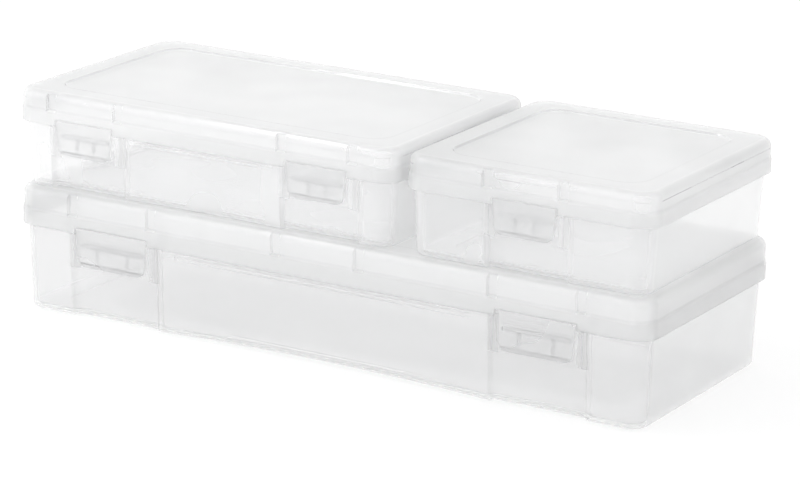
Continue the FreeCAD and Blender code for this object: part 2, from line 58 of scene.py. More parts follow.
# %% The cases and their sizes
DEPTH, LID_TOP, RIM_GAP, ROOT_RISE = 130.0, 1.6, 0.3, 2.3
FOOT_DROP, STACK_GAP = 0.8, 0.2
LARGE = dict(height=62.9, lid=19.4, step=8.3, latch=41.0, bay=48.4, tab_drop=16.0, catch_drop=4.4,
             gusset=8.8, notch=22.6)
SHORT = dict(height=48.8, lid=16.1, step=6.9, latch=32.4, bay=40.6, tab_drop=13.7, catch_drop=3.2,
             gusset=4.8, notch=19.2)
STACK = LARGE["height"] + STACK_GAP - FOOT_DROP


def case(name, shape, length, x, z, latches, hinge, bow=0.0, arch=0.0, bead=0.0, middle=()):
    """One case's sizes, with the levels that its pieces share, measured from its own foot."""
    c = dict(shape, name=name, x=x, z=z, half_x=length / 2, half_y=DEPTH / 2, latches=latches,
             hinges=(-hinge, hinge), bow=bow, arch=arch, bead=bead)
    c["skirt"] = c["height"] - c["lid"]
    c["step_z"] = c["skirt"] + c["step"]
    c["rim"] = c["height"] - LID_TOP - RIM_GAP
    c["catch_z"] = c["skirt"] - c["catch_drop"]
    c["tab_z"] = c["skirt"] - c["tab_drop"]
    c["root_z"] = c["skirt"] + ROOT_RISE
    c["notches"] = [at + side * c["notch"] for at in latches + middle for side in (-1, 1)]
    c["panel_half"] = max(latches) - c["bay"] / 2 if len(latches) > 1 else 0.0
    return c


CASES = [
    case("large", LARGE, 344.0, 0.0, 0.0, (-115.5, 115.5), 129.0, bow=3.0, arch=1.2, bead=81.8,
         middle=(0.0,)),
    case("medium", SHORT, 212.0, -66.0, STACK, (-65.0, 65.0), 70.0, bow=1.6, bead=40.2),
    case("small", SHORT, 128.0, 108.0, STACK, (0.0,), 28.0),
]
print("cases:", ", ".join(f"{c['name']} {2 * c['half_x']:.0f} mm long" for c in CASES))

# %% [markdown]
# ## Walking along a side
# Bays, notches and catches begin and end at soft edges.  An even, very fine mesh could show them,
# but most of it would be wasted on flat walls.  So each straight side has stations: even steps, and
# a few more wherever an edge is to be pressed in.

# %% Stations and soft edges
def stations(half, edges, pitch=9.0):
    """Places along a straight side from -half to half: even steps, plus the given edges.
    Places closer than a twentieth of a millimetre count as one."""
    even = np.linspace(-half, half, max(3, int(2 * half / pitch)))
    places = np.concatenate([even, np.asarray(edges, float)])
    places = np.unique(np.round(places[np.abs(places) <= half], 3))
    return places[np.concatenate([[True], np.diff(places) > 0.05])]


def soft_edge(at, half, soft=0.35):
    """Seven stations across each side of a feature that spans at - half to at + half."""
    step = np.linspace(-1.5, 1.5, 7) * soft
    return np.concatenate([at - half + step, at + half + step])


def smooth(x):
    """0 below 0, 1 above 1, and 3x^2 - 2x^3 between."""
    x = np.clip(x, 0, 1)
    return x * x * (3 - 2 * x)


def within(x, at, half, soft=0.35):
    """1 inside a feature's width, 0 outside, with a soft step at each side."""
    return smooth((half + soft - np.abs(x - at)) / (2 * soft))


print("stations along a side of 100 mm:", stations(50.0, []).tolist())

# %% [markdown]
# ## Walking round a case
# Trays and lids are both a rounded rectangle in plan, so both can be made as rings stacked along a
# profile.  Every ring of one piece has the same stations, and equal turns round the corners.  A ring
# further in is the same outline drawn in by its inset.  A box with bevels would be quicker, but its
# walls couldn't take the draft, the bays and the notches without tearing.

# %% Rings round a case
CORNER = 9


def ring(plan, inset, radius=None):
    """(x, y) of every station of a rounded rectangle drawn in by inset.  Straight runs keep their
    stations' shares of the side; a corner is its centre plus radius times (cos, sin) of the turn."""
    radius = plan["radius"] - inset if radius is None else radius
    flat_x, flat_y = plan["half_x"] - inset - radius, plan["half_y"] - inset - radius
    front = plan["front"] / plan["front"][-1] * flat_x
    back = plan["back"] / plan["back"][-1] * flat_x
    side = np.linspace(-1, 1, plan["side"]) * flat_y
    turn = np.linspace(0, math.pi / 2, CORNER + 2)[1:-1]

    def corner(sx, sy, start):
        return np.stack([sx * flat_x + radius * np.cos(start + turn),
                         sy * flat_y + radius * np.sin(start + turn)], 1)

    reach_x, reach_y = flat_x + radius, flat_y + radius
    return np.concatenate([
        np.stack([front, np.full(len(front), -reach_y)], 1), corner(1, -1, -math.pi / 2),
        np.stack([np.full(len(side), reach_x), side], 1), corner(1, 1, 0),
        np.stack([-back, np.full(len(back), reach_y)], 1), corner(-1, 1, math.pi / 2),
        np.stack([np.full(len(side), -reach_x), -side], 1), corner(-1, -1, math.pi)])


def sweep(plan, rows):
    """Rings stacked along a profile: one row of points for each (inset, radius, height)."""
    grid = [np.column_stack([ring(plan, inset, radius), np.full(plan["count"], z)])
            for inset, radius, z in rows]
    return np.array(grid)


def plan_of(c, inset, radius, front_edges, back_edges):
    """The outline of one case with its stations."""
    half_x, half_y = c["half_x"] - inset, c["half_y"] - inset
    front = stations(half_x - radius, front_edges)
    back = stations(half_x - radius, back_edges, 14.0)
    plan = dict(half_x=half_x, half_y=half_y, radius=radius, front=front, back=back, side=9)
    plan["count"] = len(front) + len(back) + 2 * plan["side"] + 4 * CORNER
    return plan


def quarter(inset, level, radius, start, end, steps, up=-1):
    """Rows of a quarter circle between a flat at level and a wall whose face lies at inset.  The
    angle is 0 on the flat and 90 on the wall, which stands up (1) or hangs down (-1) from there:
    inset + r (1 - sin a), level + up r (1 - cos a)."""
    return [(inset + radius * (1 - math.sin(a)), None, level + up * radius * (1 - math.cos(a)))
            for a in np.radians(np.linspace(start, end, steps))]


print("stations round the small case:", plan_of(CASES[2], 0.0, 11.0, [], [])["count"])

# %% [markdown]
# ## From grid to mesh
# A grid of points becomes a closed skin: quads between neighbouring rings, and one flat face on the
# first and on the last ring.  Where a latch's slot cuts the lid's skirt, its cells are left out and
# the cut is closed between the outer and the inner face, as the mould closes it.

# %% Closing a grid and making a piece
def finish_mesh(name, points, faces, body, x=0.0, z=0.0, sharp=32.0):
    """Puts points (mm) and faces in a mesh at its place, points its faces outwards and shades it
    smooth, except over edges sharper than the given angle."""
    mesh = bpy.data.meshes.new(name)
    place = np.array([x, 0.0, z])
    mesh.from_pydata(((np.asarray(points) + place) * MM).tolist(), [], faces)
    work = bmesh.new()
    work.from_mesh(mesh)
    bmesh.ops.recalc_face_normals(work, faces=work.faces)
    open_edges = sum(not e.is_manifold for e in work.edges)
    work.to_mesh(mesh)
    work.free()
    mesh.shade_smooth()
    mesh.set_sharp_from_angle(angle=math.radians(sharp))
    piece = bpy.data.objects.new(name, mesh)
    flats = piece.modifiers.new("broad_faces_stay_flat", "WEIGHTED_NORMAL")
    flats.weight, flats.keep_sharp = 80, True
    bpy.context.scene.collection.objects.link(piece)
    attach(piece, body)
    print(f"{name}: {len(mesh.vertices)} points, {len(mesh.polygons)} faces, {open_edges} open edges")
    return piece


def quads(keep):
    """Corner numbers of the kept cells of a ring grid, as (row, station) steps round each cell."""
    rows, count = keep.shape
    row, at = np.nonzero(keep)
    after = (at + 1) % count
    return np.stack([row * count + at, row * count + after, (row + 1) * count + after,
                     (row + 1) * count + at], 1).tolist()


def skin(grid, slots=()):
    """Faces of a swept grid, closed at both ends.  A slot is (first station, last station, outer
    row, inner row): its cells go, and its sides and ceiling are closed."""
    rows, count = grid.shape[:2]
    keep = np.ones((rows - 1, count), bool)
    faces = []
    for first, last, outer, inner in slots:
        keep[outer:inner, first:last] = False
        at = np.arange(first, last)
        faces += np.stack([outer * count + at, outer * count + at + 1, inner * count + at + 1,
                           inner * count + at], 1).tolist()
        side = np.arange(outer, inner + 1) * count
        faces += [(side + first).tolist(), (side[::-1] + last).tolist()]
    faces += quads(keep)
    faces += [list(range(count)), list(range((rows - 1) * count, rows * count))[::-1]]
    return grid.reshape(-1, 3), faces


# %% [markdown]
# ## Small moulded bars
# Fins, lugs, hooks and lips are bars with rounded edges.  A bevel modifier would round them too, but
# its width depends on the mesh.  Here each outline gets its corner arcs first, and is then carried
# along an axis with its last rings drawn in, so that every edge has the radius it is given.

# %% Rounded outlines and bars
def rounded(corners, radii, steps=5):
    """An outline with round corners: at each corner, an arc between the two tangent points."""
    corners = np.asarray(corners, float)
    out = []
    for i, (corner, radius) in enumerate(zip(corners, radii)):
        a, b = corners[i - 1] - corner, corners[(i + 1) % len(corners)] - corner
        a, b = a / np.linalg.norm(a), b / np.linalg.norm(b)
        half = math.acos(np.clip(a @ b, -1, 1)) / 2
        centre = corner + (a + b) / np.linalg.norm(a + b) * radius / math.sin(half)
        start = corner + a * radius / math.tan(half) - centre
        end = corner + b * radius / math.tan(half) - centre
        t = np.linspace(0, 1, steps)[:, None]
        turn = math.acos(np.clip(start @ end / (radius * radius), -1, 1))
        out.append(centre + (np.sin((1 - t) * turn) * start + np.sin(t * turn) * end) / math.sin(turn))
    return np.concatenate(out)


def bar(outline, low, high, axis, edge=0.25):
    """A moulded bar: an outline carried along an axis, its two ends rounded by drawing the last
    rings in along the outline's own normals.  Returns points and faces."""
    along = np.roll(outline, -1, 0) - np.roll(outline, 1, 0)
    normal = np.stack([along[:, 1], -along[:, 0]], 1)
    normal /= np.linalg.norm(normal, axis=1, keepdims=True) + 1e-9
    across, up = outline.T
    area = np.sum(across * np.roll(up, -1) - up * np.roll(across, -1))
    normal *= np.sign(area)
    turn = np.radians([0, 30, 60, 90])
    inset = np.concatenate([edge * (1 - np.sin(turn)), edge * (1 - np.sin(turn[::-1]))])
    level = np.concatenate([low + edge * (1 - np.cos(turn)), high - edge * (1 - np.cos(turn[::-1]))])
    flat = outline[None] - inset[:, None, None] * normal[None]
    grid = np.insert(flat, "xyz".index(axis), np.broadcast_to(level[:, None], flat.shape[:2]), axis=2)
    return skin(grid)


def merge(parts):
    """Several closed skins as one set of points and faces."""
    points, faces, start = [], [], 0
    for some_points, some_faces in parts:
        points.append(some_points)
        faces += [[i + start for i in face] for face in some_faces]
        start += len(some_points)
    return np.concatenate(points), faces


plate = rounded([(0, 0), (10, 0), (10, 5), (0, 5)], [1.0] * 4)
print("a rounded bar has", len(bar(plate, 0.0, 2.0, "x")[1]), "faces")

# %% [markdown]
# ## Trays
# A tray is one drafted wall.  Its profile runs from the foot pad outwards, round the foot, up the
# leaning side, over the rim, and down again inside to the floor, so the wall's thickness is real.
# The bays, the bowed middle panel, the catches and the bead are pushed into the rings as
# displacements, each a formula of x and z, by the same amount outside and inside the wall.

# %% The tray's profile
WALL, FLOOR, RIM_INSET, FOOT_INSET, RIM_LEAN = 1.6, 2.0, 2.3, 4.0, 1.3
PAD_INSET, FOOT_ROUND, FLOOR_ROUND, CATCH_RISE = 14.7, 2.4, 1.6, 3.0


def tray_inset(c, z):
    """How far the tray's outer face lies inside the lid's, by height: drafted below, leaning above."""
    low = RIM_INSET + (FOOT_INSET - RIM_INSET) * (c["skirt"] - z) / (c["skirt"] - FOOT_DROP)
    high = RIM_INSET + RIM_LEAN * (z - c["skirt"]) / (c["rim"] - c["skirt"])
    return np.where(z < c["skirt"], low, high)


def levels(c):
    """Heights of the side rings: even steps, crowded at the catch, the bead and the skirt's edge."""
    catch, skirt = c["catch_z"], c["skirt"]
    marks = [catch - 0.1, catch + 0.05, catch + 0.3, catch + 0.65, catch + 1.1, catch + 1.55,
             catch + 1.9, catch + 2.15, catch + 2.35, catch + CATCH_RISE, skirt - WALL - 0.1,
             skirt - WALL, skirt - 0.1, skirt]
    return np.unique(np.round(np.concatenate([
        np.linspace(FOOT_DROP + FOOT_ROUND, catch - 0.8, 9), marks,
        np.linspace(skirt + 1.2, c["rim"] - 0.5, 6)]), 3))


def tray_rows(c):
    """The tray's profile: the outer rows up to and over the rim, and the inner rows down to the
    floor.  A row is (inset, corner radius, height); no radius means the outline's own."""
    z = levels(c)
    # the foot pad's flat, its rounded edge, and the underside round it
    outer = [(30.0, 6.0, 0.0), (16.0, 10.5, 0.0)]
    outer += [(i, 11.5, h) for i, h in ((15.25, 0.0), (15.07, 0.07), (15.0, 0.25), (15.0, 0.7))]
    outer += [(PAD_INSET, 10.0, FOOT_DROP), (7.2, None, FOOT_DROP)]
    # the foot's rounding, the side and the rim
    heel = tray_inset(c, FOOT_DROP + FOOT_ROUND)
    outer += quarter(heel, FOOT_DROP, FOOT_ROUND, 0, 90, 8, up=1)
    outer += [(float(tray_inset(c, h)), None, h) for h in z[1:]]
    edge = float(tray_inset(c, c["rim"]))
    over = [(edge + 0.05, None, c["rim"] - 0.2), (edge + 0.3, None, c["rim"]),
            (edge + WALL - 0.3, None, c["rim"]), (edge + WALL - 0.05, None, c["rim"] - 0.2)]
    # down inside, round the heel and over the floor, which dips into the foot pad
    floor = FOOT_DROP + FLOOR
    inner = [(float(tray_inset(c, h)) + WALL, None, h) for h in z[::-1] if h > floor + 1.7]
    heel = float(tray_inset(c, floor + FLOOR_ROUND)) + WALL
    inner += quarter(heel, floor, FLOOR_ROUND, 90, 0, 6, up=1)
    inner += [(16.3, 10.0, floor), (16.6, 9.9, floor - 0.1), (16.75, 9.8, FLOOR + 0.1),
              (17.0, 9.6, FLOOR), (30.0, 6.0, FLOOR)]
    return outer + over, inner


print("rows of the long tray, outside and inside:", *(len(rows) for rows in tray_rows(CASES[0])))

# %% [markdown]
# The bays differ above and below the skirt's edge: below, their floor follows the draft and their
# sides slant; above, a wider, upright recess lets the lid's notch ribs pass.

# %% Pressing the bays into the wall
BAY_DEPTH, BAY_SLANT, PASS_HALF, CATCH_REACH, CATCH_MARGIN = 3.1, 0.7, 4.0, 1.8, 2.0
BEAD_RADIUS, BEAD_SET, BEAD_FADE, ARCH_HEIGHT = 1.1, 0.5, 2.0, 20.0
HINGE_BAY, HINGE_BAY_DEPTH = 30.0, 5.0


def press_tray(c, grid, rows, count_front, inside):
    """Moves the front stations inwards (+y): bays and bowed panel, less catches and bead.  Below
    the foot's rounding the push fades out towards the foot pad.  An arch lifts the lower edge."""
    wall = WALL if inside else 0.0
    inset = np.array([row[0] for row in rows])[:, None]
    z = np.array([row[2] for row in rows])[:, None]
    x = grid[:, :count_front, 0]
    base = inset - wall
    flat = FOOT_INSET + FOOT_ROUND + (FLOOR_ROUND if inside else 0)
    fade = np.where(inset < flat, 1.0, np.clip((PAD_INSET - inset) / (PAD_INSET - flat), 0, 1))
    change = c["skirt"] - wall
    deep = np.zeros_like(x)
    for at in c["latches"]:
        low = within(x, at, c["bay"] / 2 + wall + BAY_SLANT / 2, BAY_SLANT / 2 + 0.25) * BAY_DEPTH
        recess = np.clip(RIM_INSET + BAY_DEPTH - base, 0, None)
        high = within(x, at, c["notch"] + PASS_HALF + wall) * recess
        deep = np.maximum(deep, np.where(z < change, low, high))
        if not inside:
            rise = (z - c["catch_z"]) / CATCH_RISE
            ledge = np.where((rise >= 0) & (rise <= 1), CATCH_REACH * (1 - rise), 0)
            deep = deep - ledge * within(x, at, c["latch"] / 2 - CATCH_MARGIN, 0.3)
    if c["bow"]:
        half = c["panel_half"]
        bow = c["bow"] * np.clip(1 - (x / half) ** 2, 0, None)
        deep = np.where(np.abs(x) < half, np.maximum(deep, bow), deep)
        if not inside:
            off = BEAD_RADIUS - (z - c["catch_z"])
            face = RIM_INSET - BEAD_SET + BEAD_RADIUS
            face = face - np.sqrt(np.clip(BEAD_RADIUS ** 2 - off * off, 0, None))
            proud = np.where(np.abs(off) < BEAD_RADIUS, inset + deep - face, 0)
            deep = deep - np.clip(proud, 0, None) * within(x, 0, c["bead"] - BEAD_FADE, BEAD_FADE)
    grid[:, :count_front, 1] += deep * fade
    if c["arch"]:
        near = np.clip((ARCH_HEIGHT - z) / ARCH_HEIGHT, 0, 1) ** 2
        near = near * (z >= FOOT_DROP - 0.01) * (inset < PAD_INSET + 0.1)
        lift = c["arch"] * np.clip(1 - (x / c["panel_half"]) ** 2, 0, None)
        grid[:, :count_front, 2] += lift * near


def press_hinges(c, plan, grid, rows, inside):
    """Moves the rear stations inwards where the hinge bays are."""
    wall = WALL if inside else 0.0
    start = len(plan["front"]) + 2 * CORNER + plan["side"]
    back = slice(start, start + len(plan["back"]))
    inset = np.array([row[0] for row in rows])[:, None]
    x = grid[:, back, 0]
    for at in c["hinges"]:
        target = RIM_INSET + HINGE_BAY_DEPTH + wall
        deep = np.clip(target - inset, 0, None) * within(x, at, HINGE_BAY / 2 + wall, 0.3)
        grid[:, back, 1] -= deep


# %% [markdown]
# Fins guard each latch, and lugs at the back carry the pin that the lid's clip turns on.  They are
# small bars: an outline in the y-z plane carried along x, with rounded ends.

# %% Fins, lugs and pins
FIN_WIDTH, FIN_SET, FIN_SINK, FIN_BELOW, FIN_TOE, FIN_GAP = 2.6, 0.4, 0.9, 1.0, 3.4, 0.3
HINGE_SET, HINGE_DROP = 3.4, 2.6
PIN_RADIUS, LUG_RADIUS, LUG_WIDTH, LUG_SINK = 1.5, 2.6, 3.0, 0.8


def fins(c, at):
    """The two guard fins of one bay, with a slanted toe."""
    front = -c["half_y"] + FIN_SET
    deep = -c["half_y"] + RIM_INSET + BAY_DEPTH + FIN_SINK + 0.1
    foot, toe, top = c["tab_z"] - FIN_BELOW, c["tab_z"] - FIN_TOE, c["skirt"] - FIN_GAP
    outline = rounded([(deep, toe), (deep, top), (front, top), (front, foot)], [0.2, 0.2, 0.4, 1.2])
    half = c["bay"] / 2
    return [bar(outline, at - half, at - half + FIN_WIDTH, "x", 0.35),
            bar(outline, at + half - FIN_WIDTH, at + half, "x", 0.35)]


def turned(y, z, radius, a):
    """Points of a circle in the y-z plane: centre plus radius times (cos a, sin a)."""
    return np.stack([y + radius * np.cos(a), z + radius * np.sin(a)], 1)


def lugs(c, at):
    """Two lugs and the moulded pin between them, in one hinge bay."""
    y, z, half = c["half_y"] - HINGE_SET, c["skirt"] - HINGE_DROP, HINGE_BAY / 2
    floor = c["half_y"] - RIM_INSET - HINGE_BAY_DEPTH - LUG_SINK
    nose = turned(y, z, LUG_RADIUS, np.linspace(-math.pi / 2, math.pi / 2, 15))
    outline = np.concatenate([nose, [(floor, z + LUG_RADIUS), (floor, z - LUG_RADIUS)]])
    pin = turned(y, z, PIN_RADIUS, np.linspace(0, 2 * math.pi, 28, endpoint=False))
    return [bar(outline, at - half, at - half + LUG_WIDTH, "x", 0.3),
            bar(outline, at + half - LUG_WIDTH, at + half, "x", 0.3),
            bar(pin, at - half + 1, at + half - 1, "x", 0.1)]


# %% [markdown]
# The tray is one moulding, so its swept wall and its small bars are put in one mesh.  Stations are
# crowded where a bay, a catch or the bead begins, because a press between two stations would be lost.

# %% Making the trays
TRAY_RADIUS = 10.0


def make_tray(c):
    """One tray: the swept wall with its bays pressed in, plus fins, lugs and pins."""
    marks = [soft_edge(at, half, soft) for at in c["latches"] for half, soft in
             ((c["bay"] / 2 + 0.35, 0.5), (c["bay"] / 2 + WALL + 0.35, 0.5),
              (c["notch"] + PASS_HALF, 0.3), (c["notch"] + PASS_HALF + WALL, 0.3),
              (c["latch"] / 2 - CATCH_MARGIN, 0.25))]
    if c["bow"]:
        marks.append(soft_edge(0.0, c["bead"] - BEAD_FADE, 1.4))
    rear = [soft_edge(at, half, 0.25) for at in c["hinges"] for half in
            (HINGE_BAY / 2, HINGE_BAY / 2 + WALL)]
    plan = plan_of(c, RIM_INSET, TRAY_RADIUS, np.concatenate(marks), np.concatenate(rear))
    front = len(plan["front"])
    outer, inner = tray_rows(c)
    grids = []
    for rows, inside in ((outer, False), (inner, True)):
        local = [(i - RIM_INSET, r, h) for i, r, h in rows]
        grid = sweep(plan, local)
        press_tray(c, grid, rows, front, inside)
        press_hinges(c, plan, grid, rows, inside)
        grids.append(grid)
    parts = [skin(np.concatenate(grids))]
    for at in c["latches"]:
        parts += fins(c, at)
    for at in c["hinges"]:
        parts += lugs(c, at)
    name = c["name"] + "_tray"
    piece = finish_mesh(name + "_moulding", *merge(parts), name, c["x"], c["z"])
    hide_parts(name)
    return piece


# %% [markdown]
# ## Lids
# A lid is swept the same way, from the recessed panel over the rounded crown, down the upper band,
# over the small step to the flared skirt, round its edge and back up inside.  The notches are a
# flat plane that the front face may not cross, so they fade out in the crown as the real ones do.

# %% The lid's profile
LID_WALL, FLARE, PANEL_RECESS, ROOT_GAP = 1.5, 0.5, 1.0, 0.12
CROWN_ROUND, UNDER_ROUND = 4.0, 2.0


def lid_rows(c):
    """Outer rows from the panel to the skirt's edge, then inner rows back to the underside.  Also
    returns the number of the first inner row, and those of the outer and the inner row that lie at
    the ceiling of the latch slots."""
    top, step, skirt = c["height"], c["step_z"], c["skirt"]
    slot = c["root_z"] + LID_WALL / 2 + ROOT_GAP
    panel = top - PANEL_RECESS
    # the recessed panel, its rounded edge and the flat frame round it
    outer = [(32.0, 6.0, panel), (17.0, 10.5, panel), (15.2, 11.4, panel), (14.9, 11.6, panel + 0.06),
             (14.65, 11.8, panel + 0.3), (14.4, 12.0, top - 0.3), (14.15, 12.2, top - 0.06),
             (13.8, 12.4, top), (12.5, 12.4, top), (6.2, None, top), (5.0, None, top)]
    # the crown, the band, the soft step and the flared skirt
    outer += quarter(FLARE, top, CROWN_ROUND, 0, 90, 11)
    outer += [(FLARE, None, h) for h in (top - 4.6, (top + step) / 2 + 0.6)]
    outer += [(FLARE * float(smooth(t)), None, step - 1.1 + 2.6 * t) for t in np.linspace(1, 0, 8)]
    low = (skirt + 2.0, skirt + 0.7, skirt + 0.35)
    outer += [(0.0, None, h) for h in (slot,) + low]
    edge = [(0.1, None, skirt + 0.1), (0.35, None, skirt), (LID_WALL - 0.35, None, skirt),
            (LID_WALL - 0.1, None, skirt + 0.1)]
    # up inside to the underside of the frame and, a little lower, of the panel
    under = top - LID_TOP
    inner = [(LID_WALL, None, h) for h in low[::-1] + (slot, step - 0.8, step - 0.1)]
    inner += [(LID_WALL + FLARE, None, h) for h in (step + 0.1, step + 0.8, under - 2.6)]
    inner += quarter(LID_WALL + FLARE, under, UNDER_ROUND, 90, 0, 6)
    inner += [(10.5, 4.0, under), (12.6, 12.0, under), (12.9, 12.0, under - 0.3),
              (12.9, 12.0, under - 0.8), (13.3, 12.0, under - 1.0), (32.0, 6.0, under - 1.0)]
    first_inner = len(outer) + len(edge)
    slot_rows = (len(outer) - len(low) - 1, first_inner + len(low))
    return outer + edge + inner, first_inner, slot_rows


print("rows of the long lid:", len(lid_rows(CASES[0])[0]))

# %% [markdown]
# The notches are pressed into the upper band, each with a rib of even wall behind it.  The clips
# that hold the lid to the tray's pins are open below, so a real lid can be pulled off them.

# %% Notches and hinge clips
NOTCH_HALF, NOTCH_DEPTH, RIB_HALF, RIB_WALL = 2.4, 1.4, 3.6, 1.5
CLIP_RADIUS, CLIP_BORE, CLIP_MOUTH, CLIP_GAP = 3.0, 1.65, 1.25, 0.4
ARM_RISE, ARM_DEPTH = 4.0, 2.6


def press_lid(c, grid, first_inner, front):
    """The notches: outside no point in a notch lies in front of its floor; inside, the rib behind
    it keeps a wall of its own.  Both only act above the step."""
    x, y, z = grid[:, :front, 0], grid[:, :front, 1], grid[:, :front, 2]
    above = smooth((z - c["step_z"] + 0.2) / 0.7)
    floor = -c["half_y"] + FLARE + NOTCH_DEPTH
    inner = (np.arange(len(grid)) >= first_inner)[:, None]
    for at in c["notches"]:
        outside = np.clip(floor - y, 0, None) * within(x, at, NOTCH_HALF, 0.45) * above
        inside = np.clip(floor + RIB_WALL - y, 0, None) * within(x, at, RIB_HALF, 0.45) * above
        y += np.where(inner, inside, outside)
    grid[:, :front, 1] = y


def clips(c, at):
    """One hinge clip: a C that opens downwards round the pin, on an arm from the rear skirt."""
    y, z = c["half_y"] - HINGE_SET, c["skirt"] - HINGE_DROP
    half = HINGE_BAY / 2 - LUG_WIDTH - CLIP_GAP
    gap_out, gap_in = math.asin(CLIP_MOUTH / CLIP_RADIUS), math.asin(CLIP_MOUTH / CLIP_BORE)
    a = np.linspace(-math.pi / 2 + gap_out, 1.5 * math.pi - gap_out, 40)
    b = np.linspace(1.5 * math.pi - gap_in, -math.pi / 2 + gap_in, 30)
    claw = np.concatenate([turned(y, z, CLIP_RADIUS, a), turned(y, z, CLIP_BORE, b)])
    back, top = c["half_y"] - LID_WALL / 2, c["skirt"] + ARM_RISE
    arm = rounded([(back, z + 1.9), (back, top), (back - ARM_DEPTH, top), (back - ARM_DEPTH, z + 2.4)],
                  [0.1, 0.1, 0.6, 0.1])
    return [bar(claw, at - half, at + half, "x", 0.15), bar(arm, at - half, at + half, "x", 0.15)]


# %% [markdown]
# The skirt is cut by a slot for each latch.  The slot's sides are stations of the ring, so the cut
# runs along the mesh and needs no boolean.

# %% Making the lids
LID_RADIUS, SLIT = 11.0, 0.5


def make_lid(c):
    """One lid: the swept shell with notches and latch slots, plus its hinge clips."""
    slot_half = c["latch"] / 2 + SLIT
    marks = [soft_edge(at, NOTCH_HALF, 0.4) for at in c["notches"]]
    marks += [soft_edge(at, RIB_HALF, 0.4) for at in c["notches"]]
    marks += [[at - slot_half, at + slot_half, at] for at in c["latches"]]
    plan = plan_of(c, 0.0, LID_RADIUS, np.concatenate(marks), [])
    front = len(plan["front"])
    rows, first_inner, slot_rows = lid_rows(c)
    grid = sweep(plan, rows)
    press_lid(c, grid, first_inner, front)
    slots = []
    for at in c["latches"]:
        first = int(np.argmin(np.abs(plan["front"] - (at - slot_half))))
        last = int(np.argmin(np.abs(plan["front"] - (at + slot_half))))
        slots.append((first, last, *slot_rows))
    parts = [skin(grid, slots)]
    for at in c["hinges"]:
        parts += clips(c, at)
    name = c["name"] + "_lid"
    piece = finish_mesh(name + "_moulding", *merge(parts), name, c["x"], c["z"])
    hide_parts(name)
    return piece


# %% [markdown]
# ## Latches
# A latch is a tab of the skirt itself, cut free by a slit at each side.  Behind it a hook bar bites
# under the tray's catch, two gussets stiffen it and a thick lip gives the finger a hold.  These are
# sunk a little into the plate, so that no gap shows between them.

# %% Making the latches
ROOT_TOP, TAB_TAPER, TAB_CORNER, SINK = 0.64, 1.4, 4.5, 0.4
HOOK_GAP, HOOK_UNDER, HOOK_HEIGHT, HOOK_MARGIN, HOOK_ROUND = 0.1, 0.3, 2.2, 3.0, 0.9
LIP_SET, LIP_HEIGHT, LIP_DEPTH, GUSSET_HALF = 0.1, 1.7, 0.9, 0.6


def make_latch(c, at, node):
    """A plate with round lower corners, then hook bar, lip and gussets behind it."""
    front = -c["half_y"]
    half, top, low = c["latch"] / 2, c["root_z"] + ROOT_TOP, c["tab_z"]
    inner = front + LID_WALL
    sunk = inner - SINK
    reach = front + RIM_INSET + BAY_DEPTH - CATCH_REACH - HOOK_GAP
    hook_top = c["catch_z"] - HOOK_UNDER
    hook_low, lip_top = hook_top - HOOK_HEIGHT, low + LIP_HEIGHT

    def tab(inset, steps):
        """The plate's outline in x and z, drawn in by inset."""
        wide, narrow, foot = half - inset, half - inset - TAB_TAPER, low + inset
        corners = [(at - wide, top), (at + wide, top), (at + narrow, foot), (at - narrow, foot)]
        return rounded(corners, [0.15, 0.15, TAB_CORNER - inset, TAB_CORNER - inset], steps)

    hook = rounded([(sunk, hook_low), (reach, hook_low), (reach, hook_top), (sunk, hook_top)],
                   [0.1, HOOK_ROUND, HOOK_ROUND, 0.1])
    lip = tab(LIP_SET, 15)
    parts = [bar(tab(0.0, 9), front, inner, "y", 0.15),
             bar(hook, at - half + HOOK_MARGIN, at + half - HOOK_MARGIN, "x", HOOK_ROUND),
             bar(lip[lip[:, 1] < lip_top], sunk, inner + LIP_DEPTH, "y", 0.4)]
    web = rounded([(sunk, lip_top - 0.3), (inner + 0.2, lip_top - 0.3), (reach, hook_low + 0.4),
                   (sunk, hook_low + 0.4)], [0.1, 0.1, 0.2, 0.1])
    for middle in (at - c["gusset"], at + c["gusset"]):
        parts.append(bar(web, middle - GUSSET_HALF, middle + GUSSET_HALF, "x", 0.1))
    piece = finish_mesh(node + "_moulding", *merge(parts), node, c["x"], c["z"])
    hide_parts(node)
    return piece


# %% [markdown]
# ## Three cases
# Case by case, the tray comes first, then its lid and its latches.

# %% Moulding every case
trays, lids, latches = [], [], []
for c in CASES:
    trays.append(make_tray(c))
    lids.append(make_lid(c))
    sides = ("left", "right") if len(c["latches"]) == 2 else ("front",)
    for side, at in zip(sides, c["latches"]):
        latches.append(make_latch(c, at, f"{c['name']}_latch_{side}"))
print(len(trays), "trays,", len(lids), "lids and", len(latches), "latches")

# %% [markdown]
# ## The plastic's grain
# A mould's satin face gives the plastic a fine grain, and the melt leaves slow clouds in it.  Both
# come from noise in the piece's own coordinates, so they ride along when a lid opens.  One node
# group holds them for every plastic.

# %% Satin grain, shared by every plastic
GRAIN_SIZE, CLOUD_SIZE = 900.0, 22.0


def add(tree, kind, **settings):
    """A new shader node in a tree, with its settings."""
    made = tree.nodes.new("ShaderNode" + kind)
    for setting, value in settings.items():
        setattr(made, setting, value)
    return made


def put(inputs, values):
    """Links each value to its input, or sets the input to it."""
    for socket, value in values.items():
        if isinstance(value, bpy.types.NodeSocket):
            inputs[socket].id_data.links.new(value, inputs[socket])
        else:
            inputs[socket].default_value = value


